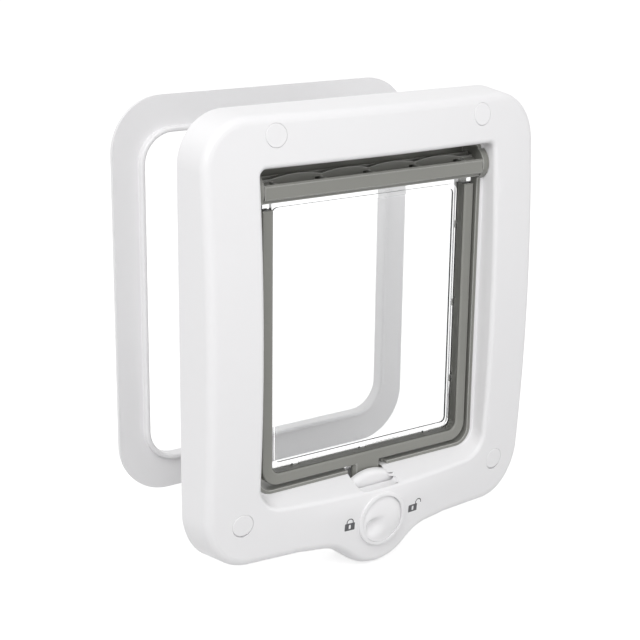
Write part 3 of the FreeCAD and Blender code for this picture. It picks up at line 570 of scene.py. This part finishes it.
def dial_profile():
    """Radius and y of each ring round the dial, from its rim to the end of its stem."""
    profile = []
    for step in range(1, RIM_STEPS + 1):
        angle = math.radians(90 * step / RIM_STEPS)
        profile.append((DIAL_RADIUS + RIM_WIDTH * math.sin(angle),
                        DIAL_EDGE_Y + RIM_HEIGHT * (1 - math.cos(angle))))
    profile += [(DIAL_RADIUS + RIM_WIDTH, DIAL_BACK_Y), (DIAL_STEM_RADIUS, DIAL_BACK_Y),
                (DIAL_STEM_RADIUS, DIAL_STEM_END_Y)]
    return profile


def knob_dial():
    """Knob with its ridge and thumb hollow as one closed form round the lock's axis."""
    mesh = bmesh.new()
    turns = [2 * math.pi * number / DIAL_STEPS for number in range(DIAL_STEPS)]
    rows = []
    for ring in range(1, DIAL_RINGS + 1):
        radius = DIAL_RADIUS * ring / DIAL_RINGS
        places = [(radius * math.cos(turn), radius * math.sin(turn)) for turn in turns]
        rows.append([mesh.verts.new((x, dial_y(x, z), LOCK_Z + z)) for x, z in places])
    for radius, y in dial_profile():
        rows.append([mesh.verts.new((radius * math.cos(turn), y, LOCK_Z + radius * math.sin(turn)))
                     for turn in turns])
    first = mesh.verts.new((0, dial_y(0, 0), LOCK_Z))
    last = mesh.verts.new((0, DIAL_STEM_END_Y, LOCK_Z))
    for number in range(DIAL_STEPS):
        after = (number + 1) % DIAL_STEPS
        mesh.faces.new((first, rows[0][after], rows[0][number]))
        mesh.faces.new((last, rows[-1][number], rows[-1][after]))
        for inner, outer in zip(rows, rows[1:]):
            mesh.faces.new((inner[number], inner[after], outer[after], outer[number]))
    bmesh.ops.recalc_face_normals(mesh, faces=mesh.faces)
    return finished_object("knob_dial", mesh)


def shade_strip_line(half, bottom, top, setback):
    """Line down the left wall, round both corners and up the right wall, moved in by the setback."""
    radius = MEMBER_INNER_CORNER - setback
    left, right, low = -half + setback, half - setback, bottom + setback
    return [(left, top), *arc_points((left + radius, low + radius), radius, 180, 270, SHADE_STRIP_CORNER_STEPS),
            *arc_points((right - radius, low + radius), radius, 270, 360, SHADE_STRIP_CORNER_STEPS), (right, top)]


def panel_shade_strip():
    """Painted shade: a thin dark strip on the inner walls of the edge frame, sunk a little into them."""
    low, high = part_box("flap_edge_frame")
    points = [vertex.co for vertex in NODES["flap_edge_frame"].data.vertices]
    bottom = min(point.z for point in points if abs(point.x) > high.x / 2)
    walls = (high.x - MEMBER_WIDTH, bottom + MEMBER_WIDTH, high.z)
    front, back = low.y + SHADE_STRIP_FRONT_SETBACK, low.y + SHADE_STRIP_BACK_SETBACK
    section = ((-SHADE_STRIP_SUNK, front), (SHADE_STRIP_THICKNESS, front), (SHADE_STRIP_THICKNESS, back), (-SHADE_STRIP_SUNK, back))
    mesh = bmesh.new()
    rows = [[mesh.verts.new((x, y, z)) for x, z in shade_strip_line(*walls, setback)] for setback, y in section]
    for first, second in zip(rows, rows[1:] + rows[:1]):
        for number in range(len(first) - 1):
            mesh.faces.new((first[number], first[number + 1], second[number + 1], second[number]))
    for end in (0, -1):
        mesh.faces.new([row[end] for row in rows])
    bmesh.ops.recalc_face_normals(mesh, faces=mesh.faces)
    return finished_object("panel_shade_strip", mesh)


def seen_rays(tree):
    """1 for rays from the camera, also where clear or glossy surfaces send them on."""
    path = add_node(tree, "ShaderNodeLightPath")
    seen = path.outputs["Is Camera Ray"]
    for kind in ("Is Transmission Ray", "Is Glossy Ray"):
        either = add_node(tree, "ShaderNodeMath", operation="MAXIMUM")
        tree.links.new(seen, either.inputs[0])
        tree.links.new(path.outputs[kind], either.inputs[1])
        seen = either.outputs[0]
    return seen


def make_floor():
    """Pale floor that shows white to the camera and still takes the object's shadow."""
    height = CAD_BOX[0].z - FLOOR_GAP
    corners = [(x * FLOOR_REACH, y * FLOOR_REACH, height) for x, y in ((-1, -1), (1, -1), (1, 1), (-1, 1))]
    data = bpy.data.meshes.new("floor")
    data.from_pydata(corners, [], [(0, 1, 2, 3)])
    material, tree, shader = new_material("pale_floor")
    shader.inputs["Base Color"].default_value = (*FLOOR_COLOR, 1)
    shader.inputs["Roughness"].default_value = FLOOR_ROUGHNESS
    shader.inputs["Specular IOR Level"].default_value = 0.0
    shader.inputs["Emission Color"].default_value = (1, 1, 1, 1)
    tree.links.new(scaled(tree, seen_rays(tree), FLOOR_LIFT), shader.inputs["Emission Strength"])
    data.materials.append(material)
    link_object("floor", data)


def make_world():
    """White world that gives the object less light than the camera sees."""
    world = bpy.data.worlds.new("studio")
    bpy.context.scene.world = world
    world.use_nodes = True
    tree = world.node_tree
    background = tree.nodes["Background"]
    background.inputs["Color"].default_value = (1, 1, 1, 1)
    strength = spread_between(tree, seen_rays(tree), (WORLD_LIGHT, WORLD_SEEN))
    tree.links.new(strength, background.inputs["Strength"])


def make_lights():
    for name, (place, width, power) in STUDIO_LIGHTS.items():
        data = bpy.data.lights.new(name, "AREA")
        data.shape = "DISK"
        data.size = width
        data.energy = power
        light = link_object(name, data)
        light.location = place
        light.rotation_euler = (Vector(LIGHTS_AIM) - Vector(place)).to_track_quat("-Z", "Y").to_euler()


def make_camera():
    """Camera at the photo's angle, from the object's left and a little above."""
    turn = math.radians(-CAMERA_YAW)
    tilt = math.radians(CAMERA_PITCH)
    back = Vector((math.sin(turn) * math.cos(tilt), -math.cos(turn) * math.cos(tilt), math.sin(tilt)))
    data = bpy.data.cameras.new("camera")
    data.lens = CAMERA_LENS_MM
    data.sensor_width = SENSOR_WIDTH_MM
    data.clip_start = NEAREST_SEEN
    camera = link_object("camera", data)
    camera.location = CAMERA_AIM + back * CAMERA_DISTANCE
    roll = Quaternion((0, 0, 1), math.radians(CAMERA_ROLL))
    camera.rotation_euler = ((-back).to_track_quat("-Z", "Y") @ roll).to_euler()
    bpy.context.scene.camera = camera


white = make_white_plastic()
polished = make_polished_white()
grey = make_grey_plastic()
steel = make_steel()
ink = make_ink()
CORNERS = ("top_left", "top_right", "bottom_left", "bottom_right")
dress(white, "front_frame", "rear_frame", "lock_rotor")
dress(polished, "lock_knob", *["cap_" + corner for corner in CORNERS])
dress(grey, "opening_liner", "flap_head", "flap_edge_frame")
dress(make_clear_plastic(), "flap_panel")
dress(steel, "hinge_pin_left", "hinge_pin_right", "lock_screw", "lock_washer",
      *["screw_" + corner for corner in CORNERS])
dress(make_magnet(), "flap_magnet", "sill_magnet")

dial = knob_dial()
dial.data.materials.append(polished)
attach(dial, "lock")
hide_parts("lock_knob")

shell = front_shell(white, grey)
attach(shell, "root")
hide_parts("front_frame")

for name, centre, swung in (("sign_closed", CLOSED_SIGN, False), ("sign_open", OPEN_SIGN, True)):
    sign = padlock_sign(name, centre, swung)
    sign.data.materials.append(ink)
    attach(sign, "root")

# Painted shade on the inner walls round the clear sheet
shade_strip = panel_shade_strip()
shade_strip.data.materials.append(make_painted_shade_strip())
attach(shade_strip, "flap")

make_floor()
make_world()
make_lights()
make_camera()
bpy.context.scene.view_settings.view_transform = "Standard"
